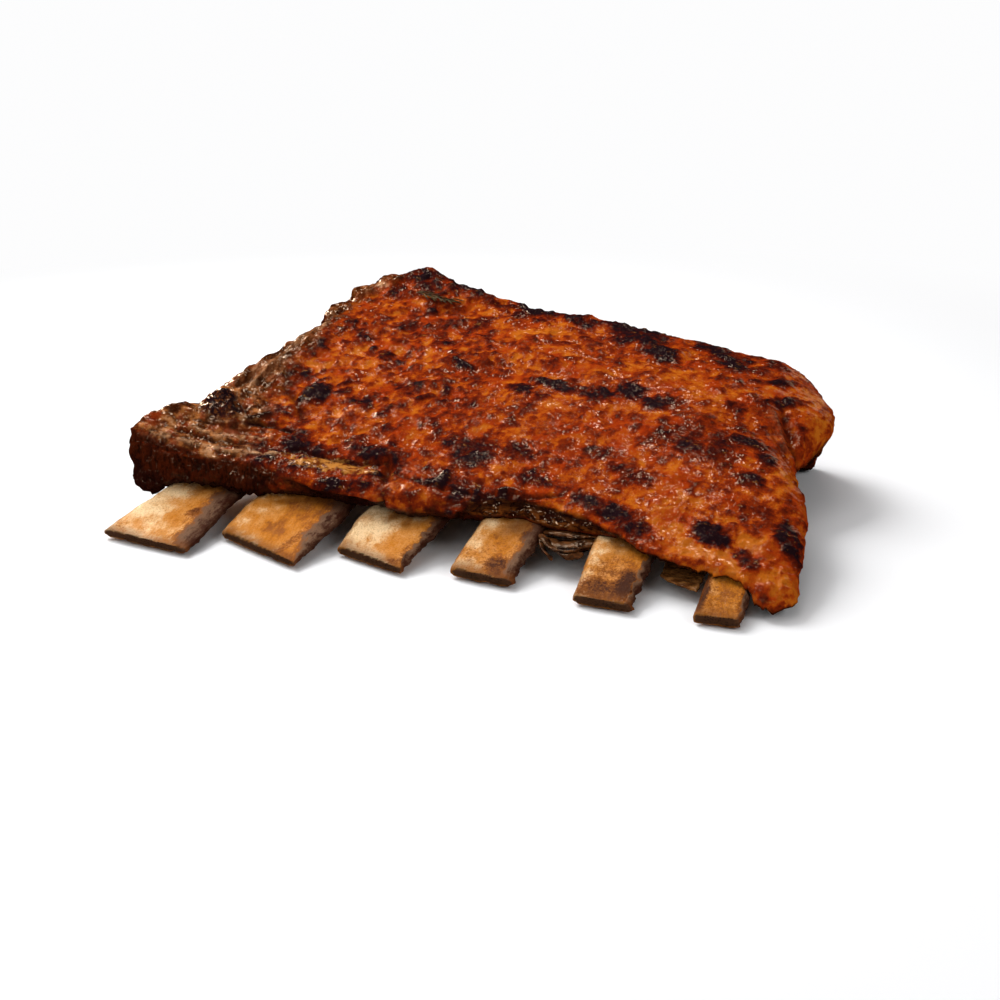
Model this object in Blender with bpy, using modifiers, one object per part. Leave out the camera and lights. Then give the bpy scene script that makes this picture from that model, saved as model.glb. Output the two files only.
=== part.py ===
"""Roasted rack of beef ribs: a slab of rib meat on six flat rib bones.

Units are metres and +Z is up. X runs along the rack from the widest bone to the narrowest,
Y runs from the bare bone ends to the thick back, and the rack rests on z = 0 with the middle
of its box over the origin. The slab is a loft between an upper and a lower skin, each a
Coons patch over four edge lines, and each bone lies in a channel cut along its underside.
"""

import math

import bmesh
import bpy
from mathutils import Vector, noise

COLLECTION = "beef_rib_rack"
HELPERS = "bone_channel_cutters"

# Edge lines of the slab's upper skin: (x, y, z), left to right or front to back.
FRONT_TOP = (
    (-0.183, -0.079, 0.049),
    (-0.161, -0.080, 0.043),
    (-0.135, -0.079, 0.037),
    (-0.106, -0.078, 0.033),
    (-0.036, -0.075, 0.032),
    (0.014, -0.073, 0.030),
    (0.064, -0.073, 0.028),
    (0.114, -0.080, 0.025),
    (0.139, -0.085, 0.022),
    (0.158, -0.091, 0.017),
    (0.171, -0.097, 0.014),
    (0.181, -0.092, 0.014),
)
BACK_TOP = (
    (-0.092, 0.128, 0.105),
    (-0.070, 0.121, 0.097),
    (-0.028, 0.119, 0.087),
    (0.035, 0.120, 0.079),
    (0.073, 0.118, 0.074),
    (0.115, 0.119, 0.068),
    (0.138, 0.116, 0.064),
    (0.156, 0.108, 0.056),
)
LEFT_TOP = (
    FRONT_TOP[0],
    (-0.163, -0.058, 0.054),
    (-0.149, -0.033, 0.060),
    (-0.142, -0.012, 0.066),
    (-0.132, 0.019, 0.073),
    (-0.126, 0.049, 0.081),
    (-0.124, 0.075, 0.087),
    (-0.113, 0.106, 0.097),
    BACK_TOP[0],
)
RIGHT_TOP = (
    FRONT_TOP[-1],
    (0.179, -0.060, 0.023),
    (0.174, -0.030, 0.031),
    (0.166, 0.000, 0.039),
    (0.160, 0.018, 0.043),
    (0.161, 0.036, 0.048),
    (0.165, 0.058, 0.052),
    (0.165, 0.082, 0.054),
    BACK_TOP[-1],
)

# Edge lines of the lower skin: (x, y). Its height follows the bones.
FRONT_LOW = (
    (-0.183, -0.080),
    (-0.135, -0.080),
    (-0.078, -0.078),
    (-0.036, -0.078),
    (0.014, -0.079),
    (0.064, -0.080),
    (0.114, -0.087),
    (0.139, -0.094),
    (0.160, -0.099),
    (0.172, -0.104),
    (0.184, -0.097),
)
BACK_LOW = ((-0.152, 0.131), (-0.060, 0.133), (0.060, 0.133), (0.156, 0.128))
LEFT_LOW = (FRONT_LOW[0], (-0.170, -0.045), (-0.161, 0.000), (-0.157, 0.060), BACK_LOW[0])
RIGHT_LOW = (
    FRONT_LOW[-1],
    (0.182, -0.060),
    (0.177, -0.030),
    (0.169, 0.000),
    (0.162, 0.020),
    (0.163, 0.040),
    (0.166, 0.060),
    (0.165, 0.085),
    BACK_LOW[-1],
)

# The arch that the bones and the meat under them follow.
ARCH_START = -0.119
ARCH_SPAN = 0.252
ARCH_SLOPE = 0.25
BONE_PROUD = 0.0035  # how far the bones stand below the meat between them
REST_STRIP = (0.100, 0.118)  # the meat comes down to z = 0 between these depths
FRONT_LIFT_REACH = 0.15  # share of the depth over which the front edge rises off the bones

# Unevenness of the slab.
CROWN = 0.005
SHOULDER = 0.003
SHOULDER_REACH = 0.009
WAVES = ((0.045, 0.0020), (0.019, 0.0010))  # size and height of the swells in the crust
BACK_BULGE = 0.007
LEFT_BULGE = (0.000, 0.013)  # least at the front corner, most at the back
LEFT_SPAN = (-0.060, 0.100)
FRONT_BULGE = (0.001, 0.006)  # the crust overhangs the bones more towards the right
FRONT_SPAN = (-0.110, 0.010)
RIGHT_BULGE = (0.001, 0.008)  # the lobe behind the crease stands out further than the edge
LOBE_SPAN = (0.030, 0.058)
OVERHANG_HEIGHT = 1.9  # exponent that lifts the widest part of the front and the lobe
CORNER_BULGE = 0.45  # share of the bulge that is left at the slab's corners
CORNER_REACH = 0.16
CREASE = ((0.168, -0.004), (0.162, 0.010), (0.156, 0.024), (0.151, 0.040), (0.147, 0.062))
CREASE_DEPTH = 0.005
CREASE_WIDTH = 0.006
RIDGE = ((-0.149, -0.033), (-0.142, -0.012), (-0.138, 0.002), (-0.132, 0.018), (-0.128, 0.034))
RIDGE_HEIGHT = 0.005  # the torn left edge stands up above the crust beside it
RIDGE_WIDTH = 0.010
FLAP_DROOP = 0.007  # the thin crust right of the last bone hangs almost to the rest plane
FLAP_X = (0.150, 0.172)
FLAP_Y = (-0.080, 0.000)
CORNER_LIFT = 0.004  # the left front corner is cut off higher
CORNER_X = (-0.182, -0.160)
CORNER_Y = (-0.075, -0.050)

# How finely the slab is divided.
SLAB_COLUMNS = 38
SLAB_ROWS = 24
RIM_ROWS = 4
EDGE_CROWDING = 0.55
ON_EDGE = 1e-6  # a share nearer than this to 0 or 1 is on the edge itself

# Bones, left to right: the two corners of the sawn front end, the middle where the bone
# enters the meat, the middle at the back, and the width at front, entry and back.
BONES = (
    {"left": (-0.174, -0.120), "right": (-0.1175, -0.128), "entry": -0.138, "back": -0.126,
     "widths": (0.0565, 0.043, 0.038)},
    {"left": (-0.1155, -0.100), "right": (-0.057, -0.125), "entry": -0.079, "back": -0.068,
     "widths": (0.0575, 0.053, 0.042)},
    {"left": (-0.0485, -0.099), "right": (-0.005, -0.114), "entry": -0.021, "back": -0.012,
     "widths": (0.0435, 0.045, 0.037)},
    {"left": (0.0155, -0.106), "right": (0.052, -0.110), "entry": 0.0365, "back": 0.040,
     "widths": (0.0365, 0.035, 0.032)},
    {"left": (0.0825, -0.116), "right": (0.1135, -0.118), "entry": 0.097, "back": 0.087,
     "widths": (0.031, 0.034, 0.028)},
    {"left": (0.140, -0.118), "right": (0.1645, -0.1165), "entry": 0.152, "back": 0.130,
     "widths": (0.0240, 0.023, 0.021)},
)
ENTRY_DEPTH = -0.076
BONE_BACK = 0.131
BONE_THICKNESS = (0.0065, 0.0095, 0.0115)
BONE_SQUARENESS = 2.8  # exponent of the superellipse that is a bone's section
BONE_SIDES = 16
BONE_RINGS = 13
BONE_SWEEP = (-0.4, 1.4)  # widens the step, so that a bone runs on straight at both ends
SAW_REACH = 0.5  # share of a bone's length over which its oblique front end fades out
SAW_SLANT = 0.002  # the lower edge of the sawn front end is this far behind the upper one
GAP = 0.0003  # between neighbouring solids
CHANNEL_OVERRUN = 0.020  # a channel's cutter runs this far past both ends of its bone

# Torn membrane hanging between the fourth and fifth bones, and the strip between the last two.
SHRED_X = (0.0565, 0.0785)
SHRED_Y = (-0.084, -0.066)
SHRED_TOP = 0.0125
SHRED_SAG = 0.0045
SHRED_TAUTNESS = 0.6  # share of the sag that is gone at the back
SHRED_POINT = 0.004  # the torn edge reaches this far forward in its middle
SHRED_GRID = (6, 4)
STRIP_X = (0.1165, 0.1375)
STRIP_FRONT = (-0.083, -0.095)
STRIP_BACK = -0.055
STRIP_RISE = (0.0075, 0.0125)
STRIP_DISH = 0.0008
STRIP_GRID = (5, 6)
MEMBRANE_THICKNESS = 0.0018

# Colour and roughness of each material.
ROAST_LOOK = ((0.30, 0.085, 0.022), 0.38)
BONE_LOOK = ((0.62, 0.36, 0.16), 0.45)
SHRED_LOOK = ((0.30, 0.16, 0.07), 0.40)
STRIP_LOOK = ((0.36, 0.22, 0.08), 0.30)


def mix(a, b, share):
    return a + (b - a) * share


def smoothstep(low, high, value):
    share = min(1.0, max(0.0, (value - low) / (high - low)))
    return share * share * (3.0 - 2.0 * share)


def spline(points, along, share):
    """Point at `share` of the way down a line that passes smoothly through `points`.

    The way is measured on coordinate number `along`, which rises from point to point.
    """
    target = mix(points[0][along], points[-1][along], share)
    last = len(points) - 2
    index = 0
    while index < last and points[index + 1][along] < target:
        index += 1
    before = points[max(index - 1, 0)]
    start, end = points[index], points[index + 1]
    after = points[min(index + 2, last + 1)]
    part = (target - start[along]) / (end[along] - start[along])
    found = []
    for number in range(len(start)):
        a, b, c, d = before[number], start[number], end[number], after[number]
        slope = 2 * b - 2 * c + (c - a) / 2 + (d - b) / 2
        bend = 3 * (c - b) - (c - a) - (d - b) / 2
        found.append(b + part * ((c - a) / 2 + part * (bend + part * slope)))
    found[along] = target
    return Vector(found + [0.0] * (3 - len(found)))


def coons(front, back, left, right, s, t):
    """Point of the patch between four edge lines, with s along X and t along Y."""
    across = mix(spline(front, 0, s), spline(back, 0, s), t)
    down = mix(spline(left, 1, t), spline(right, 1, t), s)
    near = mix(spline(front, 0, 0.0), spline(front, 0, 1.0), s)
    far = mix(spline(back, 0, 0.0), spline(back, 0, 1.0), s)
    return across + down - mix(near, far, t)


def arch(y):
    """Height of the bones' underside."""
    run = max(0.0, y - ARCH_START)
    return max(0.0, ARCH_SLOPE * run * (1.0 - (run / ARCH_SPAN) ** 2))


def nearness(x, y, line, width):
    """1 on the line and 0 well away from it, seen from above."""
    spot = Vector((x, y))
    nearest = math.inf
    for start, end in zip(line, line[1:]):
        start, end = Vector(start), Vector(end)
        share = (spot - start).dot(end - start) / (end - start).length_squared
        share = min(1.0, max(0.0, share))
        nearest = min(nearest, (spot - mix(start, end, share)).length)
    return math.exp(-((nearest / width) ** 2))


def crease_depth(x, y):
    """Depth of the crease that parts the lobe at the right from the slab."""
    fade = 1.0 - smoothstep(CREASE[-2][1], CREASE[-1][1] + CREASE_WIDTH, y)
    return CREASE_DEPTH * fade * nearness(x, y, CREASE, CREASE_WIDTH)


def swell(x, y):
    """Low uneven swells of the crust."""
    height = 0.0
    for number, (size, amount) in enumerate(WAVES):
        height += amount * noise.noise(Vector((x / size, y / size, 7.0 * number)))
    return height


def upper_skin(s, t):
    point = coons(FRONT_TOP, BACK_TOP, LEFT_TOP, RIGHT_TOP, s, t)
    length = FRONT_TOP[-1][0] - FRONT_TOP[0][0]
    depth = BACK_TOP[0][1] - FRONT_TOP[0][1]
    inset = min(s * length, (1.0 - s) * length, t * depth, (1.0 - t) * depth)
    point.z += CROWN * math.sin(math.pi * s) * math.sin(math.pi * t)
    point.z += SHOULDER * (1.0 - math.exp(-inset / SHOULDER_REACH))
    point.z += swell(point.x, point.y) * smoothstep(0.0, SHOULDER_REACH, inset)
    point.z += RIDGE_HEIGHT * nearness(point.x, point.y, RIDGE, RIDGE_WIDTH)
    point.z -= crease_depth(point.x, point.y)
    return point


def lower_skin(s, t):
    point = coons(FRONT_LOW, BACK_LOW, LEFT_LOW, RIGHT_LOW, s, t)
    front_lift = BONE_PROUD * (1.0 - smoothstep(0.0, FRONT_LIFT_REACH, t))
    height = arch(point.y) + BONE_PROUD + front_lift
    flap = smoothstep(*FLAP_X, point.x) * (1.0 - smoothstep(*FLAP_Y, point.y))
    corner = (1.0 - smoothstep(*CORNER_X, point.x)) * (1.0 - smoothstep(*CORNER_Y, point.y))
    height += CORNER_LIFT * corner - FLAP_DROOP * flap
    height *= 1.0 - smoothstep(*REST_STRIP, point.y)
    point.z = max(0.0, height)
    return point


def rim_bulge(s, t, level, x, y):
    """How far the slab's side stands out at this share of its height."""
    even = math.sin(math.pi * level)
    high = math.sin(math.pi * level**OVERHANG_HEIGHT)
    side_taper = mix(CORNER_BULGE, 1.0, smoothstep(0.0, CORNER_REACH, min(t, 1.0 - t)))
    end_taper = mix(CORNER_BULGE, 1.0, smoothstep(0.0, CORNER_REACH, min(s, 1.0 - s)))
    out = Vector((0.0, 0.0, 0.0))
    if s < ON_EDGE:
        out.x -= even * side_taper * mix(*LEFT_BULGE, smoothstep(*LEFT_SPAN, y))
    if s > 1.0 - ON_EDGE:
        out.x += high * side_taper * mix(*RIGHT_BULGE, smoothstep(*LOBE_SPAN, y))
    if t < ON_EDGE:
        out.y -= high * end_taper * mix(*FRONT_BULGE, smoothstep(*FRONT_SPAN, x))
    if t > 1.0 - ON_EDGE:
        out.y += even * end_taper * BACK_BULGE
    return out


def crowd(share):
    """Moves the grid's lines towards the edges, where the shape turns fastest."""
    return share - EDGE_CROWDING * math.sin(2.0 * math.pi * share) / (2.0 * math.pi)


def slab_point(s, t, level):
    low, high = lower_skin(s, t), upper_skin(s, t)
    point = mix(low, high, level)
    return point + rim_bulge(s, t, level, point.x, point.y)


def link(obj, collection_name):
    collection = bpy.data.collections.get(collection_name)
    if collection is None:
        collection = bpy.data.collections.new(collection_name)
        bpy.context.scene.collection.children.link(collection)
    collection.objects.link(obj)
    return obj


def material(name, color, roughness):
    made = bpy.data.materials.new(name)
    made.use_nodes = True
    shader = made.node_tree.nodes["Principled BSDF"]
    shader.inputs["Base Color"].default_value = (*color, 1.0)
    shader.inputs["Roughness"].default_value = roughness
    shader.inputs["Metallic"].default_value = 0.0
    return made


def solid(bm, name, finish, collection_name=COLLECTION):
    """Turns a bmesh into a named object with outward faces."""
    bm.normal_update()
    bmesh.ops.recalc_face_normals(bm, faces=bm.faces)
    mesh = bpy.data.meshes.new(name)
    bm.to_mesh(mesh)
    bm.free()
    mesh.shade_smooth()
    if finish is not None:
        mesh.materials.append(finish)
    return link(bpy.data.objects.new(name, mesh), collection_name)


def build_meat():
    """Unit block of grid faces, its upright edges divided, placed point by point."""
    bm = bmesh.new()
    bmesh.ops.create_grid(bm, x_segments=SLAB_COLUMNS, y_segments=SLAB_ROWS, size=0.5)
    raised = bmesh.ops.extrude_face_region(bm, geom=bm.faces[:], use_keep_orig=True)
    for vert in raised["geom"]:
        if isinstance(vert, bmesh.types.BMVert):
            vert.co.z = 1.0
    upright = [e for e in bm.edges if abs(e.verts[0].co.z - e.verts[1].co.z) > 0.5]
    bmesh.ops.subdivide_edges(bm, edges=upright, cuts=RIM_ROWS - 1, use_grid_fill=True)
    for vert in bm.verts:
        s, t = crowd(vert.co.x + 0.5), crowd(vert.co.y + 0.5)
        vert.co = slab_point(s, t, vert.co.z)
    return solid(bm, "meat", material("roast_meat", *ROAST_LOOK))


def bone_point(bone, angle, share, grow):
    """Point of a bone's surface, moved outwards by `grow` for the cutter of its channel."""
    left, right = Vector(bone["left"]), Vector(bone["right"])
    front = (left + right) / 2
    entry_share = (ENTRY_DEPTH - front.y) / (BONE_BACK - front.y)
    y = mix(front.y, BONE_BACK, share)
    if share < entry_share:
        part = share / entry_share
        x = mix(front.x, bone["entry"], part)
        width = mix(bone["widths"][0], bone["widths"][1], smoothstep(0.0, 1.0, part))
        thickness = mix(BONE_THICKNESS[0], BONE_THICKNESS[1], part)
    else:
        part = (share - entry_share) / (1.0 - entry_share)
        x = mix(bone["entry"], bone["back"], smoothstep(*BONE_SWEEP, part))
        width = mix(bone["widths"][1], bone["widths"][2], part)
        thickness = mix(BONE_THICKNESS[1], BONE_THICKNESS[2], part)
    cosine, sine = math.cos(angle), math.sin(angle)
    power = 2.0 / BONE_SQUARENESS
    across = math.copysign(abs(cosine) ** power, cosine)
    up = math.copysign(abs(sine) ** power, sine)
    skew = (right.y - left.y) / 2 * across + SAW_SLANT / 2 * (1.0 - up)
    y += skew * (1.0 - smoothstep(0.0, SAW_REACH, share))
    settle = arch(front.y + skew) * (1.0 - smoothstep(front.y + skew, ENTRY_DEPTH, y))
    z = arch(y) - settle + thickness / 2 + (thickness / 2 + grow) * up
    x += (width / 2 + grow) * across
    return Vector((x, y, z))


def bone_body(bone, grow=0.0, overrun=0.0):
    """Closed cylinder, divided along its length, with every ring placed on the bone.

    A cutter has one more ring at each end, `overrun` past the bone.
    """
    extra = 1 if overrun else 0
    spans = BONE_RINGS + 2 * extra
    bm = bmesh.new()
    bmesh.ops.create_cone(
        bm, cap_ends=True, segments=BONE_SIDES, radius1=1.0, radius2=1.0, depth=1.0
    )
    lengthwise = [e for e in bm.edges if abs(e.verts[0].co.z - e.verts[1].co.z) > 0.5]
    bmesh.ops.subdivide_edges(bm, edges=lengthwise, cuts=spans - 1, use_grid_fill=True)
    for vert in bm.verts:
        angle = math.atan2(vert.co.y, vert.co.x)
        share = ((vert.co.z + 0.5) * spans - extra) / BONE_RINGS
        on_bone = min(1.0, max(0.0, share))
        past = round((share - on_bone) * BONE_RINGS)
        vert.co = bone_point(bone, angle, on_bone, grow)
        vert.co.y += past * overrun
    return bm


def build_bones(meat):
    for number, bone in enumerate(BONES, 1):
        finish = material(f"rib_bone_{number}", *BONE_LOOK)
        solid(bone_body(bone), f"rib_bone_{number}", finish)
        cutter = solid(
            bone_body(bone, GAP, CHANNEL_OVERRUN), f"channel_{number}", None, HELPERS
        )
        cutter.hide_render = True
        cutter.display_type = "WIRE"
        channel = meat.modifiers.new(f"channel_{number}", "BOOLEAN")
        channel.operation = "DIFFERENCE"
        channel.object = cutter


def sheet(name, grid, place, finish):
    """Thin closed skin over a grid whose points are set by place(s, t)."""
    bm = bmesh.new()
    bmesh.ops.create_grid(bm, x_segments=grid[0], y_segments=grid[1], size=0.5)
    for vert in bm.verts:
        vert.co = place(vert.co.x + 0.5, vert.co.y + 0.5)
    obj = solid(bm, name, finish)
    skin = obj.modifiers.new("skin", "SOLIDIFY")
    skin.thickness = MEMBRANE_THICKNESS
    skin.offset = 0.0
    return obj


def shred_point(s, t):
    """Sagging torn membrane: it hangs lowest in the middle of its front edge."""
    hang = math.sin(math.pi * s) * (1.0 - SHRED_TAUTNESS * t)
    x = mix(SHRED_X[0], SHRED_X[1], s)
    y = mix(SHRED_Y[0] + SHRED_POINT * math.cos(2.0 * math.pi * s), SHRED_Y[1], t)
    return Vector((x, y, SHRED_TOP - SHRED_SAG * hang))


def strip_point(s, t):
    """Flat membrane strip that slopes up and back between the last two bones."""
    x = mix(STRIP_X[0], STRIP_X[1], s)
    y = mix(mix(STRIP_FRONT[0], STRIP_FRONT[1], s), STRIP_BACK, t)
    dish = STRIP_DISH * math.sin(math.pi * s)
    return Vector((x, y, mix(STRIP_RISE[0], STRIP_RISE[1], t) - dish))


def build_membranes():
    sheet("membrane_shred", SHRED_GRID, shred_point, material("torn_membrane", *SHRED_LOOK))
    sheet("membrane_strip", STRIP_GRID, strip_point, material("clear_membrane", *STRIP_LOOK))


def centre_over_origin():
    """Hangs everything from one empty that puts the middle of the box over the origin."""
    corners = [
        vert.co for obj in bpy.data.collections[COLLECTION].objects for vert in obj.data.vertices
    ]
    middle = [(min(c[i] for c in corners) + max(c[i] for c in corners)) / 2 for i in (0, 1)]
    frame = link(bpy.data.objects.new("rack_frame", None), COLLECTION)
    frame.location = (-middle[0], -middle[1], 0.0)
    for obj in list(bpy.data.objects):
        if obj is not frame:
            obj.parent = frame


def main():
    for obj in list(bpy.data.objects):
        bpy.data.objects.remove(obj, do_unlink=True)
    meat = build_meat()
    build_bones(meat)
    build_membranes()
    centre_over_origin()


main()
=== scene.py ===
"""Looks of the roasted rack of beef ribs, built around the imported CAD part.

The slab and the bones start as their CAD meshes, get their torn, blistered and sawn relief as
real geometry, and carry masks on their vertices (char, lean, fat, torn, wet ...) that the
procedural materials read. Lengths in the tables are millimetres in the part's own frame:
X along the rack from the widest bone, Y from the bone ends to the back, Z up. Where two numbers
stand for a fade, it is 0 up to the first and 1 from the second on.
"""

import itertools
import math

import bmesh
import bpy
import numpy as np
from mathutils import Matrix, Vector


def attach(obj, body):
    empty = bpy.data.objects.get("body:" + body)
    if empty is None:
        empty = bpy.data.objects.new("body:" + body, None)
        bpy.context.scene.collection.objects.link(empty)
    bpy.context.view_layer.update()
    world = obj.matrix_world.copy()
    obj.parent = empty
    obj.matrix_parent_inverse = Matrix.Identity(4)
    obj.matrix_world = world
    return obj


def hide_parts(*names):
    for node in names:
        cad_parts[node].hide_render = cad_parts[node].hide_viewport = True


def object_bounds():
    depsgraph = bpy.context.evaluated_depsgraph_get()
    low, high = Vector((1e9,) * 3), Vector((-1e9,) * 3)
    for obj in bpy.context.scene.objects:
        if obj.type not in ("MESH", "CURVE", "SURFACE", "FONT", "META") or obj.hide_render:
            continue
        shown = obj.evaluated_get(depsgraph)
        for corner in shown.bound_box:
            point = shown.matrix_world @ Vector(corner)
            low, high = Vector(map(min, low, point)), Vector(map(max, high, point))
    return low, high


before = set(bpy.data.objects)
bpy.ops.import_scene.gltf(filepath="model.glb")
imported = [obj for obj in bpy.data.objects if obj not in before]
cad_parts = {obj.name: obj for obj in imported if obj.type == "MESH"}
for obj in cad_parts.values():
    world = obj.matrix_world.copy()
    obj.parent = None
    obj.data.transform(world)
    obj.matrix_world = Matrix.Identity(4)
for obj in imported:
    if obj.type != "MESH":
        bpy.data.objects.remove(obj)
cad_box = [list(corner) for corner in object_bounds()]

MM = 0.001

# ------------ camera, light, floor
CAMERA_PLACE = (278, -739, 289.2)
CAMERA_AZIMUTH = 20.5
CAMERA_PITCH = 20
CAMERA_LENS = 54.36
CAMERA_SENSOR = 36
CAMERA_FAR = 100  # this and the floor's lengths are in metres
FLOOR_RADIUS = 12
FLOOR_COLOR = (0.9, 0.9, 0.91)
FLOOR_FADE = (0.3, 0.8)  # distances over which the floor turns into the even backdrop
BACKDROP = (0.98, 0.98, 0.985)
AMBIENT = 0.16
# name: place and target in metres, size in metres, power in watts. The shading lights leave no
# reflections, and the gleams are seen only in them.
SHADING = {
    "key": ((-0.8, 0.35, 1), (0, 0, 0.05), 0.8, 19.5),
    "soft": ((-0.45, -0.2, 1.6), (0, 0, 0.03), 1.6, 9),
    "front": ((-0.2, -1.35, 0.95), (0, 0, 0.03), 1.2, 5),
    "fill": ((1.1, -0.35, 0.8), (0, 0, 0.05), 0.6, 4),
}
GLEAMS = {
    "wide_gleam": ((-0.8, 0.6, 0.86), (0, 0, 0.05), 0.15, 1.7),
    "left_gleam": ((-1.12, 0.84, 0.58), (-0.12, 0, 0.05), 0.26, 8),
    "back_gleam": ((-0.2, 0.85, 1), (0, 0, 0.05), 0.12, 1.5),
    "near_gleam": ((-0.2, -0.5, 1.4), (0, 0, 0.05), 0.1, 1.2),
    "front_gleam": ((-0.3, -1.25, 0.55), (0, 0, 0.03), 0.12, 3.4),
    "low_gleam": ((-0.95, -1, 0.35), (-0.05, 0, 0.03), 0.14, 2.7),
    "rim_gleam": ((0.45, 1.6, 0.6), (0.05, 0.05, 0.05), 0.7, 2.4),
    "over_gleam": ((-0.62, 0.08, 1.15), (-0.14, -0.04, 0.05), 0.26, 4.5),
    "corner_gleam": ((-0.1, 0.02, 1.3), (0.12, -0.08, 0.03), 0.12, 2.6),
    "top_gleam": ((0.06, 0.48, 1.1), (0.1, 0, 0.03), 0.12, 2.2),
}
GLEAM_COLOR = (1, 0.76, 0.54)

# ------------ slab of meat
VOXEL_SHAPE = 2.6  # first remesh, where added lumps join the slab
VOXEL_SKIN = 2.62  # second remesh, before the top and the front are divided once more
FACET_SMOOTHING = 10
SKIN_SMOOTHING = 2
FINE_UPWARD = 0.3  # faces that point further up than this are divided
FINE_FORWARD = -0.3  # and so are faces that point further forward, which is to -Y

# Lumps joined to the slab: centre, radii and turn about Z in degrees.
LUMPS = (
    ((-140, -52, 55), (11, 8, 5.5), 20), ((-146, -46, 58.5), (6, 5, 6), -30),
    ((-131, -58, 51), (7, 5, 4), 10), ((-143, -48, 62), (3.5, 3.5, 4.5), 40),
    ((-135, -53, 57.5), (4, 3, 4), 0), ((-149, -53, 54.5), (4.5, 4, 3), 20),
    ((-128, 60, 84), (6, 10, 3.6), 5), ((-130, 72, 87), (5, 8, 3.6), -12),
    ((-121, 88, 93), (6, 10, 4.5), -25), ((-108, 102, 97.5), (8, 8, 4.5), -35),
    ((-90, 119, 101), (8, 5.5, 3.4), 10), ((-15, -78, 26), (23, 8.5, 8.5), 4),
    ((-32, -76, 31), (13, 7, 5), 0), ((172, -86, 15), (7, 9, 4), 15),
    ((175.5, -91, 8.5), (7.5, 8.5, 4.5), 0), ((150, -88, 17.5), (17, 10, 4.5), -12),
    ((-171, -70, 50.5), (9, 7, 5.5), 20), ((-160, -62, 54.5), (10, 7, 5), 30),
    ((-177.5, -77, 47), (4.5, 6, 4.5), 0), ((-173, -82, 22), (6, 7, 9.5), 15),
    ((-166, -86, 17), (5, 4, 5), -20),
)

# Heights along X of the line where the crust ends on the front face.
CRUST_EDGE = (
    (-184, 46.5), (-173, 42), (-160, 39), (-145, 37.5), (-130, 36.5), (-112, 35.5),
    (-95, 33), (-80, 29), (-57, 25), (-38, 24), (-26, 19), (-8, 17.5),
    (6, 21), (16, 29), (27, 31), (42, 31), (56, 29.5), (72, 28),
    (86, 25.5), (97, 23.5), (107, 19), (122, 17), (140, 14), (184, 6),
)
# How far the layer under the crust's edge lies back, along X.
RECESS = (
    (-184, 0), (-90, 0), (-80, 3), (-40, 4), (-28, 1.5), (0, 2), (14, 6.5),
    (30, 9), (60, 9), (90, 7), (105, 5), (120, 2.5), (150, 1), (184, 0),
)
LIP_SWELL = 1.6
CUT_WAVER = 1.6  # how far the crust's edge wavers where the layer under it is cut back
MASK_WAVER = 1.5  # and how far it wavers in the masks
# Line across the slab from the front to the back, as (y, x), left of which the meat is torn.
BEVEL_LINE = (
    (-80, -112), (-58, -112), (-35, -121), (-14, -122), (19, -121), (75, -119), (125, -92),
)
# Fades of the slab's zones: along Y, then along X, then by how far the surface faces up.
FRONT_Y = (-60, -70)
BACK_Y = (100, 122)
TAN_Y = (-22, -48)
LEAN_X = (-84, -100)
WET_X = (-92, -80)
# Where the painted shade below the front fades out along X.
SHADE_BELOW_X = (20, -25)
UNDER_TILT = (-0.15, -0.55)
END_CUT_TILT = (0.74, 0.4)
BACK_ROAST = 0.42  # how much browner the back is than the top
# Single spots, as x, y, half length, half width and turn in degrees.
FAT_STREAK = (-62, -70, 26, 4.6, -2)
SEARED_STRIP = (-52, -81, 14, 2.4, 2)
DARK_SCRAP = (-172, -84, 14, 14, 0)
BURNT_TIP = (-140, -52, 13, 9, 15)
# Ragged front edge of the thin right corner: the reach and length of its teeth, where along X
# they begin and where the squared-off end begins, how low that end hangs in shares of the reach,
# and the share and length of the small nicks.
JAG_REACH = 7
JAG_SIZE = 7
JAG_X = (118, 130)
JAG_END_X = (158, 165)
JAG_END = -0.3
NICK_SHARE = 0.35
NICK_SIZE = 3.2
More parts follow.
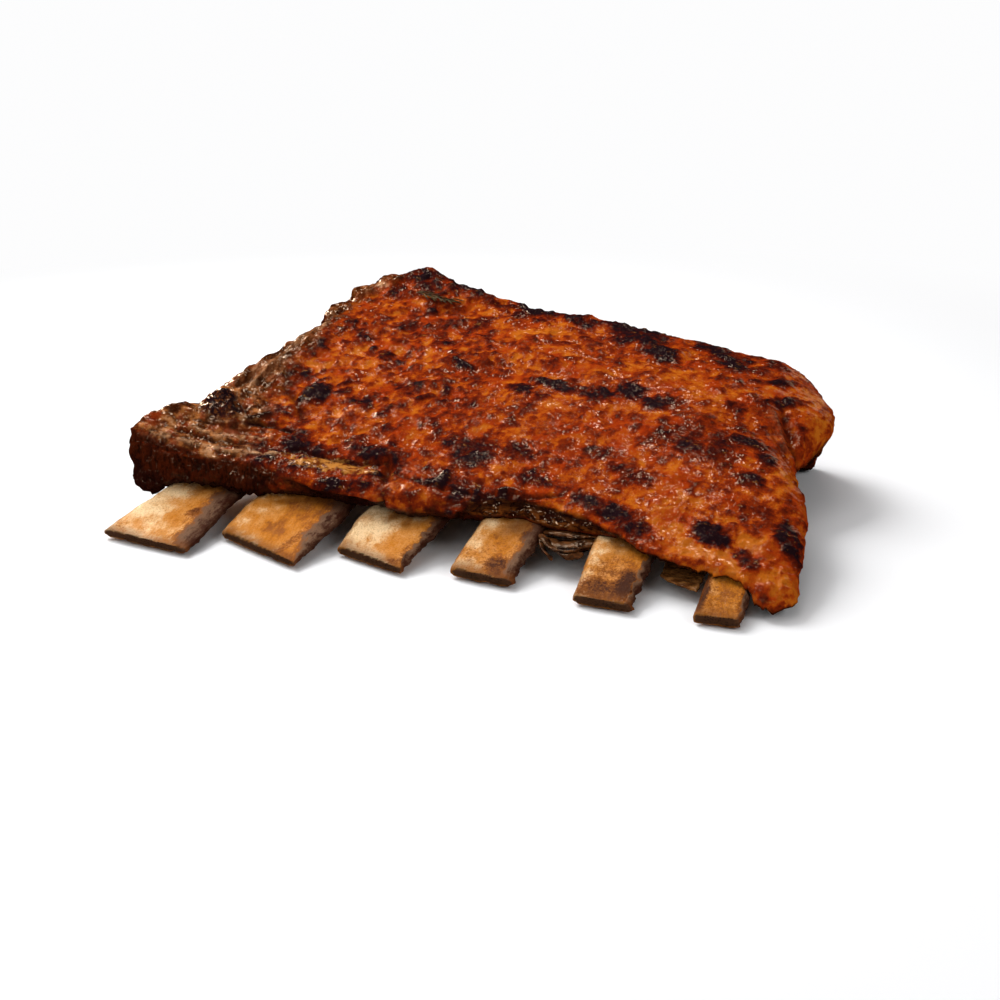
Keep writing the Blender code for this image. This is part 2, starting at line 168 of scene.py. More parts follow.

# Ridges and furrows: height, half width, tone (dark below 0, pale above) and the line they follow.
# A dark tone is painted shade, mostly in the furrows; a pale tone is a paler strand, partly painted
# highlight along its ridge.
STROKES = (
    (-1.7, 1.3, -0.75, ((-92, -63, 40), (-69, -66.5, 38.5), (-51, -66, 39.5), (-37, -64.5, 39.5))),
    (-2.8, 2, -0.8, ((-36, -62, 40), (-34, -74, 35), (-31, -82, 27), (-33, -84, 21))),
    (-1.3, 1.1, -0.8, ((-29, -75, 34), (-20, -81, 29), (0, -82, 26), (9, -80, 27))),
    (-1.2, 1, -0.8, ((-28, -79, 30), (-16, -84, 25), (2, -84, 23))),
    (-1.2, 1, -0.7, ((-30, -70, 36), (-18, -73, 34), (0, -75, 32), (14, -74, 33))),
    (-1.6, 1.4, -0.8, ((12, -79, 30), (26, -72, 34), (44, -70, 34), (58, -66, 36))),
    (0.9, 0.8, 0.9, ((-168, -80, 47), (-154, -79.5, 43.5), (-137, -77, 41), (-121, -74, 39),
                     (-98, -70, 38.5))),
    (-0.9, 0.9, -0.8, ((-162, -75, 48), (-141, -74, 44.5), (-124, -70, 41.5), (-108, -66, 41))),
    (0.8, 0.7, 0.8, ((-150, -71, 48), (-137, -70, 45.5), (-122, -65, 43.5), (-106, -61, 44))),
    (0.7, 0.7, 0.7, ((-165, -68, 52), (-155, -60, 53), (-147, -57, 53))),
    (-0.8, 0.9, -0.7, ((-146, -66, 50), (-133, -64, 48), (-120, -60, 46), (-108, -57, 45.5))),
    (-1.2, 2.2, -0.8, ((-122, -10, 66), (-118, -22, 62), (-106, -31, 57), (-97, -41, 52))),
    (1.6, 2.4, -1, ((-124, -55, 50), (-116, -46, 53))),
    (-1.4, 1.6, -1, ((-126, -58, 48), (-112, -52, 49), (-98, -52, 48))),
    (-1.8, 1.6, -0.5, ((-139, -34, 61), (-135, 0, 71), (-128, 40, 82), (-121, 70, 89))),
    (-1.5, 1.4, -0.4, ((-131, -26, 61), (-127, 14, 73), (-121, 50, 82))),
    (1.4, 1.6, 0.5, ((-135, -30, 61), (-131, 8, 72), (-125, 45, 82))),
    (-3, 2.6, -0.6, ((148, 44, 51), (154, 34, 49), (158, 24, 44), (161, 22, 34))),
    (1.2, 2, 0.15, ((143, 40, 53), (150, 28, 49), (154, 18, 43))),
    (-2.6, 1.6, -1, ((-182, -80, 29), (-174, -88, 29), (-164, -90, 27))),
)
STROKE_WANDER = 1.3
STROKE_TINT = 1.2  # how much wider a stroke's tone is than its relief
CLEFT_DEPTH = 1.8
CLEFT_WIDTH = 0.07

# Char marks on the crust: x, y, half length, half width, turn in degrees and strength.
CHAR_MARKS = (
    (142, 75, 10, 4.5, 48, 0.75), (147, 54, 13, 4, 45, 0.8), (-14, 111, 19, 8, -6, 0.95),
    (15, 104, 13, 6, -10, 0.9), (50, 101, 23, 15, -20, 1), (70, 79, 11, 9, -30, 0.95),
    (103, 98, 20, 9, -25, 0.85), (112, 84, 10, 7, -50, 0.75), (132, 96, 15, 6, -28, 0.55),
    (8, 13, 8, 6, 0, 0.95), (28, 21, 13, 4.5, -15, 0.95), (44, 19, 8, 4, -5, 0.9),
    (67, 31, 7, 8, 10, 0.95), (52, 24, 9, 3.5, -5, 0.85), (84, 22, 8, 8, -30, 0.85),
    (123, 34, 7, 5, -10, 0.8), (118, -12, 24, 15, -10, 0.55), (112, -14, 6, 5, 0, 0.85),
    (137, 3, 9, 5, -15, 0.85), (149, -8, 6, 5, 0, 0.8), (146, -28, 7, 5, 0, 0.65),
    (82, -69.5, 17, 5, -14, 1), (100, -78, 9, 5, -20, 0.85), (138, -77, 10, 7, -18, 1),
    (156, -84, 6, 5, -20, 0.75), (173, -64, 6.5, 12, 20, 0.95), (160, -90, 5, 4, 0, 0.7),
    (-81, 62, 7, 6, 10, 0.65), (-76, 25, 9, 5, -10, 0.6), (-53, -1, 8, 6, 15, 0.6),
    (-73, -21, 8, 5, 0, 0.6), (-99, -19, 8, 8, -35, 0.85), (-92, -58, 8, 7, -10, 0.85),
    (-75, -61, 10, 3.5, 4, 0.5), (-50, -59, 12, 4, 0, 0.5), (3, -46, 17, 10, 0, 0.7),
    (25, -40, 12, 7, 20, 0.6), (-118, -42, 11, 5, 20, 0.75), (-44, 80, 7, 5, 0, 0.55),
    (-35, 29, 8, 5, 0, 0.55), (-88, 108, 17, 9, -8, 0.8), (-60, 112, 20, 6, -12, 0.7),
    (-118, -10, 6, 9, 0, 0.5), (92, -45, 10, 6, -30, 0.5), (66, -30, 9, 6, 10, 0.5),
    (40, -58, 12, 5, -10, 0.6),
)

# Paler patches of crust, in the same terms: partly paler crust, partly painted light lifting surfaces
# turned away from the lamps.
PALER_AND_LIT_PATCHES = (
    (150, -86, 34, 12, -12, 0.85), (-18, -84, 24, 9, 2, 0.58), (160, 60, 18, 26, 0, 0.3),
    (-108, 4, 7, 12, 0, 0.35), (118, -62, 22, 9, -20, 0.3),
)

# ------------ bones
BONE_VOXEL = 1.5
BONE_SMOOTHING = 1
BONE_BARE_Y = (-62, -84)
BONE_BACK_Y = (60, 90)
BONE_SLICE = 4  # depth of the slices in which a bone's width is measured
BONE_DISH = 1.1
BONE_LIP = 0.6  # height of the raised line along the left edge of the dish
BONE_TEAR = 1.6
BONE_PIT = 3.4
BONE_SIDE_GRAIN = 0.45
# Left and right corner of each bone's sawn end.
SAWN_CORNERS = (
    ((-174.5, -124), (-118, -132)), ((-116, -104), (-57.5, -129)), ((-49, -103), (-5.5, -118)),
    ((15, -110), (51.5, -114)), ((82, -120), (113, -122)), ((139.5, -122), (164, -120.5)),
)
# How each bone looks. "flank" is how far across it the grey side begins, partly painted shade; the
# cream is partly painted highlight, stains are in the terms of the char marks, and the rest are
# strengths.
BONE_LOOKS = (
    {"ragged": 0.8, "flank": 0.62, "cream_and_highlight": 0.65, "gold": 0.25, "stains": (
        (-130, -101, 6, 4, 20, 0.85), (-125, -98, 11, 5, 60, 0.4), (-166, -118, 3, 14, 30, 0.25),
    )},
    {"ragged": 1.1, "flank": 0.72, "cream_and_highlight": 0.15, "gold": 1, "stains": (
        (-69, -112, 3.5, 16, -22, 0.55), (-60, -104, 4, 20, -12, 0.55),
    )},
    {"ragged": 1.5, "flank": 0.86, "cream_and_highlight": 1.15, "gold": 0.25, "stains": (
        (-8, -108, 4, 9, -10, 0.45), (-13, -113, 3, 3, 0, 0.7), (-40, -106, 7, 4, 0, 0.12),
    )},
    {"ragged": 1.6, "flank": 0.66, "cream_and_highlight": 0.35, "gold": 0.75, "stains": (
        (42, -106, 10, 8, -20, 0.8), (49, -96, 4, 13, -5, 0.55), (34, -100, 18, 14, -6, 0.3),
    )},
    {"ragged": 1.8, "flank": 0.8, "cream_and_highlight": 0.4, "gold": 0.8, "stains": (
        (107, -108, 9, 11, 10, 1), (94, -113, 12, 8, -6, 0.75), (101, -101, 10, 3, 0, 0.65),
        (98, -99, 16, 12, 0, 0.42),
    )},
    {"ragged": 1.2, "flank": 0.82, "cream_and_highlight": 0, "gold": 1, "stains": (
        (141, -104, 3.5, 16, 4, 0.95), (162, -108, 3, 11, -4, 0.7), (152, -110, 16, 14, 2, 0.4),
    )},
)
# Torn membrane between the fourth and fifth bones, and the strip between the last two:
# route, width, thickness and twist in degrees.
SHRED_STRANDS = (
    (((52, -78, 17.5), (57, -84, 15), (66, -87, 12.5), (75, -85, 14), (82, -80, 17)), 5.5, 1.6, 60),
    (((54, -76, 15), (62, -80, 13.5), (72, -79, 15), (82, -76, 17)), 7, 1.8, -20),
    (((53, -82, 16), (57, -86, 13), (60, -89, 10), (62, -89.5, 9)), 3.4, 1.3, 90),
    (((62, -86, 13), (69, -89, 11), (77, -86, 13)), 3.6, 1.1, 120),
    (((52, -73, 17), (66, -73, 18), (82, -73, 18)), 9, 3, 0),
)
STRIP_VOXEL = 0.9
STRAND_SWAY = 0.8

# ------------ rosemary
SPRIG_START = (-87, 93, 94)
SPRIG_END = (-66, 89.5, 90.5)
NEEDLE_COUNT = 14
NEEDLE_LENGTH = 12
NEEDLE_WIDTH = 1.1
NEEDLE_THICKNESS = 0.8
NEEDLE_RISE = 0.9  # how far a needle's middle stands off the line from its foot to its tip
STEM_RISE = 0.8


# ============ number fields
def smooth(low, high, value):
    share = np.clip((value - low) / (high - low), 0, 1)
    return share * share * (3 - 2 * share)


def mix(a, b, share):
    return a + (b - a) * share


def along(line, x):
    """Value at x on a line of (x, value) points."""
    places, values = zip(*line)
    return np.interp(x, places, values)


def chance(cells, seed):
    """Repeatable random numbers from 0 to 1, one for each whole-number cell."""
    mixed = cells[:, 0] * 73856093 ^ cells[:, 1] * 19349663 ^ cells[:, 2] * 83492791
    mixed = (mixed ^ (seed * 40503 + 1013904223)) & 0x7FFFFFFF
    for turn in (15, 13, 16):
        mixed = ((mixed ^ (mixed >> turn)) * 0x2C1B3C6D) & 0x7FFFFFFF
    return (mixed & 0xFFFFFF) / float(0xFFFFFF)


def grain(points, size, seed):
    """Smooth random field from about -1 to 1, with features of about `size` millimetres."""
    spots = points / np.asarray(size, float)
    base = np.floor(spots).astype(np.int64)
    part = spots - base
    ease = part**3 * (part * (part * 6 - 15) + 10)
    total = np.zeros(len(points))
    for corner in itertools.product((0, 1), repeat=3):
        cell = base + corner
        reach = part - corner
        slope = sum(reach[:, i] * (2 * chance(cell, seed * 3 + i) - 1) for i in range(3))
        weight = np.prod(np.where(corner, ease, 1 - ease), axis=1)
        total += weight * slope
    return np.clip(total * 1.7, -1, 1)


def rough(points, size, seed, octaves=3, keep=0.5):
    """Sum of grain fields, each half the size and `keep` times the height of the last."""
    size = np.asarray(size, float)
    total, height, most = np.zeros(len(points)), 1, 0
    for number in range(octaves):
        total += height * grain(points, size / 2**number, seed + 11 * number)
        most += height
        height *= keep
    return total / most


def drift(points, size, seed):
    """Three grain fields side by side, by which points can be moved about."""
    return np.stack([grain(points, size, seed + i) for i in range(3)], 1)


def pebbles(points, size, seed):
    """Rounded blisters from 0 between them to 1 at their tops, and each one's random number."""
    spots = points / np.asarray(size, float)
    base = np.floor(spots).astype(np.int64)
    nearest = np.full(len(points), 9.0)
    number = np.zeros(len(points))
    for step in itertools.product((-1, 0, 1), repeat=3):
        cell = base + step
        away = np.zeros(len(points))
        for i in range(3):
            place = cell[:, i] + 0.15 + 0.7 * chance(cell, seed * 5 + i)
            away += (spots[:, i] - place) ** 2
        closer = away < nearest
        number = np.where(closer, chance(cell, seed * 5 + 3), number)
        nearest = np.where(closer, away, nearest)
    return np.clip(1 - nearest * 1.6, 0, 1), number


def spot(points, x, y, length, width, turn, fray, softness=0.35):
    """1 inside an ellipse seen from above, 0 outside, with an edge frayed by the field `fray`."""
    angle = math.radians(turn)
    dx, dy = points[:, 0] - x, points[:, 1] - y
    u = (dx * math.cos(angle) + dy * math.sin(angle)) / length
    v = (dy * math.cos(angle) - dx * math.sin(angle)) / width
    return 1 - smooth(1 - softness, 1 + softness, np.hypot(u, v) + fray)


def marked(points, table, fray, softness):
    """The strongest of a table's spots at each point."""
    field = np.zeros(len(points))
    for *place, strength in table:
        field = np.maximum(field, strength * spot(points, *place, fray, softness))
    return field


def stroke(points, route, half_width):
    """1 on the line through `route`, falling to 0 away from it; heights count less than the rest."""
    nearest = np.full(len(points), np.inf)
    squat = np.array((1, 1, 0.4))
    points = points * squat
    for start, end in zip(route, route[1:]):
        step = np.subtract(end, start) * squat
        start = np.array(start) * squat
        part = np.clip((points - start) @ step / (step @ step), 0, 1)
        away = np.linalg.norm(points - start - part[:, None] * step, axis=1)
        nearest = np.minimum(nearest, away)
    return np.exp(-((nearest / half_width) ** 2))


# ============ meshes
def points_of(mesh):
    flat = np.empty(len(mesh.vertices) * 3)
    mesh.vertices.foreach_get("co", flat)
    return flat.reshape(-1, 3) / MM


def normals_of(mesh):
    flat = np.empty(len(mesh.vertices) * 3)
    mesh.vertex_normals.foreach_get("vector", flat)
    return flat.reshape(-1, 3)


def move_to(mesh, points):
    mesh.vertices.foreach_set("co", (points * MM).ravel())
    mesh.update()


def add_mask(mesh, name, values):
    mask = mesh.attributes.new(name, "FLOAT", "POINT")
    mask.data.foreach_set("value", np.clip(values, 0, 1).astype(np.float32))


def link(name, data):
    obj = bpy.data.objects.new(name, data)
    bpy.context.scene.collection.objects.link(obj)
    return obj


def piece_from(bm, name):
    mesh = bpy.data.meshes.new(name)
    bm.normal_update()
    bm.to_mesh(mesh)
    bm.free()
    return link(name, mesh)


def cad_copy(node):
    """The CAD node's mesh with its split corners welded, as a bmesh."""
    bm = bmesh.new()
    bm.from_mesh(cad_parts[node].data)
    bmesh.ops.remove_doubles(bm, verts=bm.verts, dist=0.01 * MM)
    return bm


def with_modifier(obj, kind, **settings):
    """Applies one modifier and leaves its result as the object's mesh."""
    modifier = obj.modifiers.new(kind.lower(), kind)
    for name, value in settings.items():
        setattr(modifier, name, value)
    graph = bpy.context.evaluated_depsgraph_get()
    result = bpy.data.meshes.new_from_object(obj.evaluated_get(graph))
    obj.modifiers.clear()
    obj.data = result


def remesh(obj, voxel, smoothing):
    with_modifier(obj, "REMESH", mode="VOXEL", voxel_size=voxel * MM, adaptivity=0)
    with_modifier(obj, "SMOOTH", factor=0.5, iterations=smoothing)


def divide(obj, chosen):
    """Cuts each chosen face in four; `chosen` is a test of a face."""
    bm = bmesh.new()
    bm.from_mesh(obj.data)
    bm.normal_update()
    edges = {edge for face in bm.faces if chosen(face) for edge in face.edges}
    bmesh.ops.subdivide_edges(bm, edges=list(edges), cuts=1, use_grid_fill=True)
    bmesh.ops.triangulate(bm, faces=[face for face in bm.faces if len(face.verts) > 4])
    bm.to_mesh(obj.data)
    bm.free()


def finish(obj, material, node=None):
    """Gives a piece its looks and its place in the model."""
    obj.data.shade_smooth()
    obj.data.materials.clear()
    obj.data.materials.append(material)
    if node:
        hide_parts(node)
    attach(obj, "root")


# ============ slab
def add_lump(bm, place, radii, turn):
    """A rounded lump, uneven all round, that the remesh joins to the slab."""
    made = bmesh.ops.create_icosphere(bm, subdivisions=3, radius=1.0)["verts"]
    angle = math.radians(turn)
    for vert in made:
        x, y, z = (vert.co[i] * radii[i] for i in range(3))
        vert.co = Vector((
            place[0] + x * math.cos(angle) - y * math.sin(angle),
            place[1] + x * math.sin(angle) + y * math.cos(angle),
            place[2] + z,
        )) * MM


def crust_edge(points, waver):
    """Height of the crust's lower edge on the front face, wavering by up to `waver`."""
    return along(CRUST_EDGE, points[:, 0]) + waver * rough(points * (1, 0, 0), 9, 3)


def shape_front(points, normals):
    """Cuts the layer under the crust's edge back and swells the edge itself."""
    y, z = points[:, 1], points[:, 2]
    edge = crust_edge(points, CUT_WAVER)
    below = smooth(0.8, -1.6, z - edge) * smooth(-60, -72, y) * smooth(3, 8, z)
    front = smooth(-56, -66, y) * smooth(0.95, 0.75, normals[:, 2])
    lip = np.exp(-(((z - edge - 2.4) / 2.4) ** 2)) * front
    deep = along(RECESS, points[:, 0]) * (1 + 0.25 * grain(points, 12, 5))
    moved = points.copy()
    moved[:, 1] += below * deep - LIP_SWELL * lip * smooth(0.5, 4, deep)
    return moved


def zones(points, normals):
    """The masks that say what each point of the slab shows, painted shade and highlight among them."""
    x, y, z = points.T
    upward = normals[:, 2]
    edge = crust_edge(points, MASK_WAVER)
    fray = 0.55 * rough(points, 7, 21) + 0.25 * grain(points, 2.4, 22)
    under = smooth(*UNDER_TILT, upward)
    front = smooth(*FRONT_Y, y) * smooth(0.5, -1.5, z - edge)
    wet = front * smooth(*WET_X, x + 6 * fray) * (1 - under)
    lean = front * smooth(*LEAN_X, x + 9 * fray)
    torn = torn_bevel(points, fray) * (1 - front) * (1 - under)
    end_cut = torn * smooth(*END_CUT_TILT, upward + 0.4 * fray)
    lean = np.maximum(lean, end_cut)
    torn = torn - end_cut
    tan = torn * smooth(*TAN_Y, y + 14 * fray)
    fat = spot(points, *FAT_STREAK, 1.2 * fray) * smooth(30, 32.5, z)
    fat *= mix(1, 0.6, smooth(-76, -44, x))
    char = marked(points, CHAR_MARKS, fray, 0.45) * smooth(0.1, 0.5, upward)
    char *= (1 - 0.6 * torn) * (1 - front)
    seared = 0.75 * spot(points, *SEARED_STRIP, 0.6 * fray) * smooth(26, 28, z)
    char = np.maximum(char, seared)
    # Paler patches: partly paler crust, partly painted light.
    gold = marked(points, PALER_AND_LIT_PATCHES, fray, 0.6) * (1 - char)
    char = np.maximum(char, BACK_ROAST * (1 - torn) * smooth(*BACK_Y, y) * smooth(0.8, 0.3, upward))
    burnt = spot(points, *BURNT_TIP, fray) * smooth(47, 52, z)
    # The strokes' tones: paler strands that are partly painted highlight, and painted shade in the
    # furrows.
    pale_and_highlight, furrow_shade = stroke_tones(points)
    # Painted shade just under the crust's lip, below the front and in the clefts; the dark scrap is
    # charred meat.
    shade_under_lip = wet * np.exp(-(((edge - z - 2) / 2.6) ** 2)) * smooth(3, 6, along(RECESS, x))
    scrap = spot(points, *DARK_SCRAP, fray) * smooth(29, 25, z)
    shade_below = np.maximum(wet, under * smooth(-40, -60, y)) * smooth(*SHADE_BELOW_X, x + 20 * fray)
    shade_in_clefts = np.maximum(lean, 0.6 * tan) * clefts(points)
    shade = np.max([furrow_shade, 0.9 * shade_under_lip, 0.8 * scrap, 0.85 * shade_below, 0.7 * shade_in_clefts], axis=0)
    return {"char": char, "lean": lean, "wet": wet, "torn": torn, "tan": tan, "fat": fat,
            "under": under, "pale_and_highlight": pale_and_highlight, "shade": shade, "burnt": burnt, "gold": gold}


def torn_bevel(points, fray):
    """1 on the torn meat left of the bevel line, whose edge is more ragged at the back."""
    x, y = points[:, 0], points[:, 1]
    behind = smooth(*BACK_Y, y)
    ragged = 10 * fray + 9 * rough(points, 16, 67, 3, 0.6)
    ragged += behind * 55 * rough(points, 34, 68, 4, 0.55)
    return smooth(5, -7, (x - along(BEVEL_LINE, y) + ragged) / (1 + 2 * behind))


def stroke_tones(points):
    """How much paler strand and painted highlight the strokes leave at each point, and how much
    painted shade.
    """
    pale_and_highlight, dark = np.zeros(len(points)), np.zeros(len(points))
    wandered = wander(points)
    for _, half_width, tone, route in STROKES:
        side = pale_and_highlight if tone > 0 else dark
        np.maximum(side, abs(tone) * stroke(wandered, route, STROKE_TINT * half_width), out=side)
    return pale_and_highlight, dark


def wander(points):
    """The points moved about a little, so that a line read at them wavers."""
    return points + STROKE_WANDER * drift(points, 8, 61)


def crag(points):
    """How coarse the crust is: coarse at the left and along the back, finer to the right."""
    x, y = points[:, 0], points[:, 1]
    inner = mix(1, 0.45, smooth(-60, 60, x - 0.3 * y))
    return np.maximum(inner, smooth(-44, -64, y) * mix(1, 0.7, smooth(20, 90, x)))


def crust_relief(points):
    """Height of the browned crust in millimetres, and how near each point is to a blister's top."""
    x, y = points[:, 0], points[:, 1]
    warp = drift(points, 8, 31)
    big, chosen = pebbles(points + 4 * warp, (9, 11, 9), 34)
    small, number = pebbles(points + 2 * warp, (4.4, 5.4, 4.6), 38)
    big = big * chosen - 0.25
    small = small * number - 0.25
    craggy = 1 - np.abs(rough(points, 10, 39, 3)) - 0.72
    fine = rough(points, 3.2, 41, 2)
    streak = grain(points, (20, 3, 3), 42) + 0.6 * grain(points, (12, 1.8, 1.8), 43)
    coarse = crag(points)
    broken = smooth(-0.35, 0.35, rough(points, 24, 56, 2)) * coarse
    corner = smooth(90, 130, x) * smooth(-50, -75, y)
    brow = smooth(-48, -72, y) * smooth(70, 10, x)
    height = 2.4 * broken * craggy + coarse * (1.5 * big + small)
    height += 2.2 * coarse * rough(points, (12, 14, 12), 65, 2)
    height += (0.45 + 0.4 * broken + 0.9 * corner) * fine + 0.55 * (1 - coarse) * streak
    peak = 0.4 + 0.45 * big + 0.4 * small + 0.2 * fine + 0.3 * broken * craggy
    peak += 0.15 * (1 - coarse) * streak + 0.16 * brow
    return height, peak


def clefts(points):
    """1 in the narrow gaps between bundles of cut muscle, which lean over to the right."""
    leaning = points + np.outer(points[:, 2], (0.35, 0, 0))
    gap = rough(leaning, (9, 9, 22), 69, 2, 0.6)
    return np.exp(-((gap / CLEFT_WIDTH) ** 2))


def relief(points, zone):
    """Height to add along the normal, in millimetres, and the crust's peaks."""
    crust = np.prod([1 - zone[name] for name in ("lean", "torn", "under", "wet")], axis=0)
    blistered, peak = crust_relief(points)
    height = 1.6 * rough(points, 26, 40, 2) + crust * blistered
    height += zone["char"] * (0.6 + 1.3 * rough(points, 4.5, 44, 3, 0.6))
    height += zone["burnt"] * 3.4 * rough(points, 8, 66, 4, 0.62)
    fibre = grain(points, (3, 22, 6), 45) + 0.7 * grain(points, (1.9, 12, 4), 46)
    sheet = grain(points, (20, 3.4, 3.4), 57) + 0.6 * grain(points, (11, 2, 2), 58)
    height += (zone["torn"] - zone["tan"]) * (1.2 * fibre + 0.7 * rough(points, 8, 47, 2))
    height += zone["tan"] * (0.6 * sheet + 2.4 * rough(points, 11, 59, 4, 0.62))
    cut = grain(points, (2.4, 2.4, 11), 48) + 0.7 * grain(points, (4, 3, 4), 49)
    height += zone["lean"] * (1.1 * cut + 1.9 * rough(points, 7, 50, 4, 0.62))
    height -= np.maximum(zone["lean"], 0.6 * zone["tan"]) * CLEFT_DEPTH * clefts(points)
    layer = grain(points, (12, 4.5, 3.2), 51)
    height += zone["wet"] * (1.5 * layer + 1.4 * rough(points, 6, 52, 3, 0.6))
    height += zone["fat"] * 0.7 * grain(points, (16, 2.4, 2.4), 53)
    below = 0.8 * grain(points, (3, 18, 4), 54) + 0.7 * rough(points, 7, 55)
    height += zone["under"] * below
    wandered = wander(points)
    for tall, half_width, _, route in STROKES:
        height += tall * stroke(wandered, route, half_width)
    return height, peak


def jag(points):
    """Frays the thin front edge of the right corner into teeth."""
    x, y, z = points.T
    near = smooth(*JAG_X, x) * smooth(-84, -95, y)
    lengthwise = points * (1, 0, 0)
    tooth = rough(lengthwise, JAG_SIZE, 64, 3)
    tooth = mix(tooth, JAG_END + 0.15 * tooth, smooth(*JAG_END_X, x))
    tooth += NICK_SHARE * rough(lengthwise, NICK_SIZE, 70, 2)
    moved = points.copy()
    moved[:, 1] += near * smooth(23, 15, z) * 0.5 * JAG_REACH * tooth
    moved[:, 2] += near * smooth(19, 11, z) * JAG_REACH * (tooth + 0.1)
    return moved


def keep_inside(points):
    """Holds the visible mesh inside the CAD model's box."""
    low = np.array(cad_box[0]) / MM + 0.05
    high = np.array(cad_box[1]) / MM - 0.05
    return np.clip(points, low, high)


def build_slab():
    bm = cad_copy("meat")
    for place, radii, turn in LUMPS:
        add_lump(bm, place, radii, turn)
    slab = piece_from(bm, "roast_slab")
    remesh(slab, VOXEL_SHAPE, FACET_SMOOTHING)
    move_to(slab.data, shape_front(points_of(slab.data), normals_of(slab.data)))
    remesh(slab, VOXEL_SKIN, SKIN_SMOOTHING)
    divide(slab, lambda face: face.normal.z > FINE_UPWARD or face.normal.y < FINE_FORWARD)
    points, normals = points_of(slab.data), normals_of(slab.data)
    zone = zones(points, normals)
    height, zone["peak"] = relief(points, zone)
    resting = smooth(0.2, 4, points[:, 2])
    raised = jag(points + normals * (height * resting)[:, None])
    move_to(slab.data, keep_inside(raised))
    for name, values in zone.items():
        add_mask(slab.data, name, values)
    add_mask(slab.data, "coarse", crag(points))
    finish(slab, roast_material(), "meat")


# ============ bones
def bone_sides(points):
    """Left and right edge of a bone at the depth of each point."""
    depth = np.round(points[:, 1] / BONE_SLICE).astype(int)
    slices = np.unique(depth)
    left = np.array([points[depth == number, 0].min() for number in slices])
    right = np.array([points[depth == number, 0].max() for number in slices])
    middles = slices * BONE_SLICE
    return np.interp(points[:, 1], middles, left), np.interp(points[:, 1], middles, right)


def bone_parts(points, normals):
    """How far across its bone each point lies, and its share of the bare end and of each face."""
    left, right = bone_sides(points)
    bare = smooth(*BONE_BARE_Y, points[:, 1])
    sawn = smooth(-0.55, -0.85, normals[:, 1]) * bare
    back = smooth(0.55, 0.85, normals[:, 1]) * smooth(*BONE_BACK_Y, points[:, 1])
    return {
        "across": (points[:, 0] - left) / (right - left), "bare": bare, "end": sawn + back,
        "top": smooth(0.3, 0.8, normals[:, 2]), "side": smooth(0.25, 0.7, normals[:, 0]),
    }


def bone_relief(points, normals, part, ragged, seed):
    """A bone's points with a dished top, a ragged right edge, pits and rough sides."""
    across, bare, bare_top = part["across"], part["bare"], part["top"] * part["bare"]
    moved = points.copy()
    moved[:, 2] -= bare_top * BONE_DISH * np.sin(np.pi * np.clip(across, 0, 1)) ** 2
    moved[:, 2] += bare_top * BONE_LIP * np.exp(-(((across - 0.1) / 0.07) ** 2))
    tear = smooth(0.8, 0.97, across) * bare * ragged
    moved[:, 0] += tear * BONE_TEAR * (rough(points, 5, seed, 3) - 0.5)
    pit, deep = pebbles(points, BONE_PIT, seed + 1)
    height = 0.45 * rough(points, (9, 16, 9), seed + 2, 3)
    height -= 0.7 * pit * smooth(0.8, 0.95, deep) * (0.4 + 0.6 * bare)
    height += (part["side"] + part["end"]) * BONE_SIDE_GRAIN * rough(points, 2.6, seed + 3, 2)
    return moved + normals * height[:, None]


def bone_masks(points, part, look, number, seed):
    """The masks that say what each point of a bone shows, painted highlight and shade among them."""
    across, end = part["across"], part["end"]
    fray = 0.45 * rough(points, 6, seed + 4, 3)
    near_end = smooth(9, 0.5, points[:, 1] - front_line(points, number) + 5 * fray)
    left_edge = 0.8 * part["bare"] * smooth(0.1, 0.02, across + 0.06 * fray)
    # Painted shadow that the meat casts on the bones just in front of it.
    under_meat = smooth(-93, -78, points[:, 1] + 12 * fray)
    return {
        "stain": marked(points, look["stains"], fray, 0.5) * (1 - end),
        # Cream on the top towards the left: pale bare bone, partly painted highlight where the light
        # falls.
        "cream_and_highlight": look["cream_and_highlight"] * smooth(0.8, 0.1, across + 0.2 * fray) * part["top"],
        "gold": look["gold"] * smooth(0.1, 0.5, across + fray),
        # Grey flank on the right: partly its own colour, partly painted shade on the side away from
        # the light.
        "side": np.maximum(part["side"], smooth(look["flank"], 1, across + 0.25 * fray)),
        "meat_shadow": under_meat * smooth(0.05, 0.6, across + 0.4 * fray),
        "rim": 0.8 * np.maximum(near_end, left_edge) * (1 - end),
        "end": end,
        "marrow": end * smooth(0.1, 0.25, across) * smooth(0.9, 0.75, across),
    }


def build_bone(number, look, material):
    """One rib, with its bare end worn and stained and its marrow showing where it is sawn."""
    node = f"rib_bone_{number}"
    bone = piece_from(cad_copy(node), f"rib_{number}")
    remesh(bone, BONE_VOXEL, BONE_SMOOTHING)
    points, normals = points_of(bone.data), normals_of(bone.data)
    part = bone_parts(points, normals)
    seed = 100 + 10 * number
    move_to(bone.data, keep_inside(bone_relief(points, normals, part, look["ragged"], seed)))
    for name, values in bone_masks(points, part, look, number, seed).items():
        add_mask(bone.data, name, values)
    finish(bone, material, node)


def front_line(points, number):
    """Depth of a bone's sawn end at each point's place across it."""
    (left_x, left_y), (right_x, right_y) = SAWN_CORNERS[number - 1]
    return np.interp(points[:, 0], (left_x, right_x), (left_y, right_y))


# ============ membranes and herbs
def centre_line(route, steps, seed):
    """A smooth line of `steps` points through `route`, swaying a little."""
    route = np.array(route, float)
    stops = np.linspace(0, 1, len(route))
    way = np.linspace(0, 1, steps)
    line = np.stack([np.interp(way, stops, route[:, i]) for i in range(3)], 1)
    for _ in range(4):
        line[1:-1] = (line[:-2] + 2 * line[1:-1] + line[2:]) / 4
    return line + STRAND_SWAY * drift(line, 7, seed)


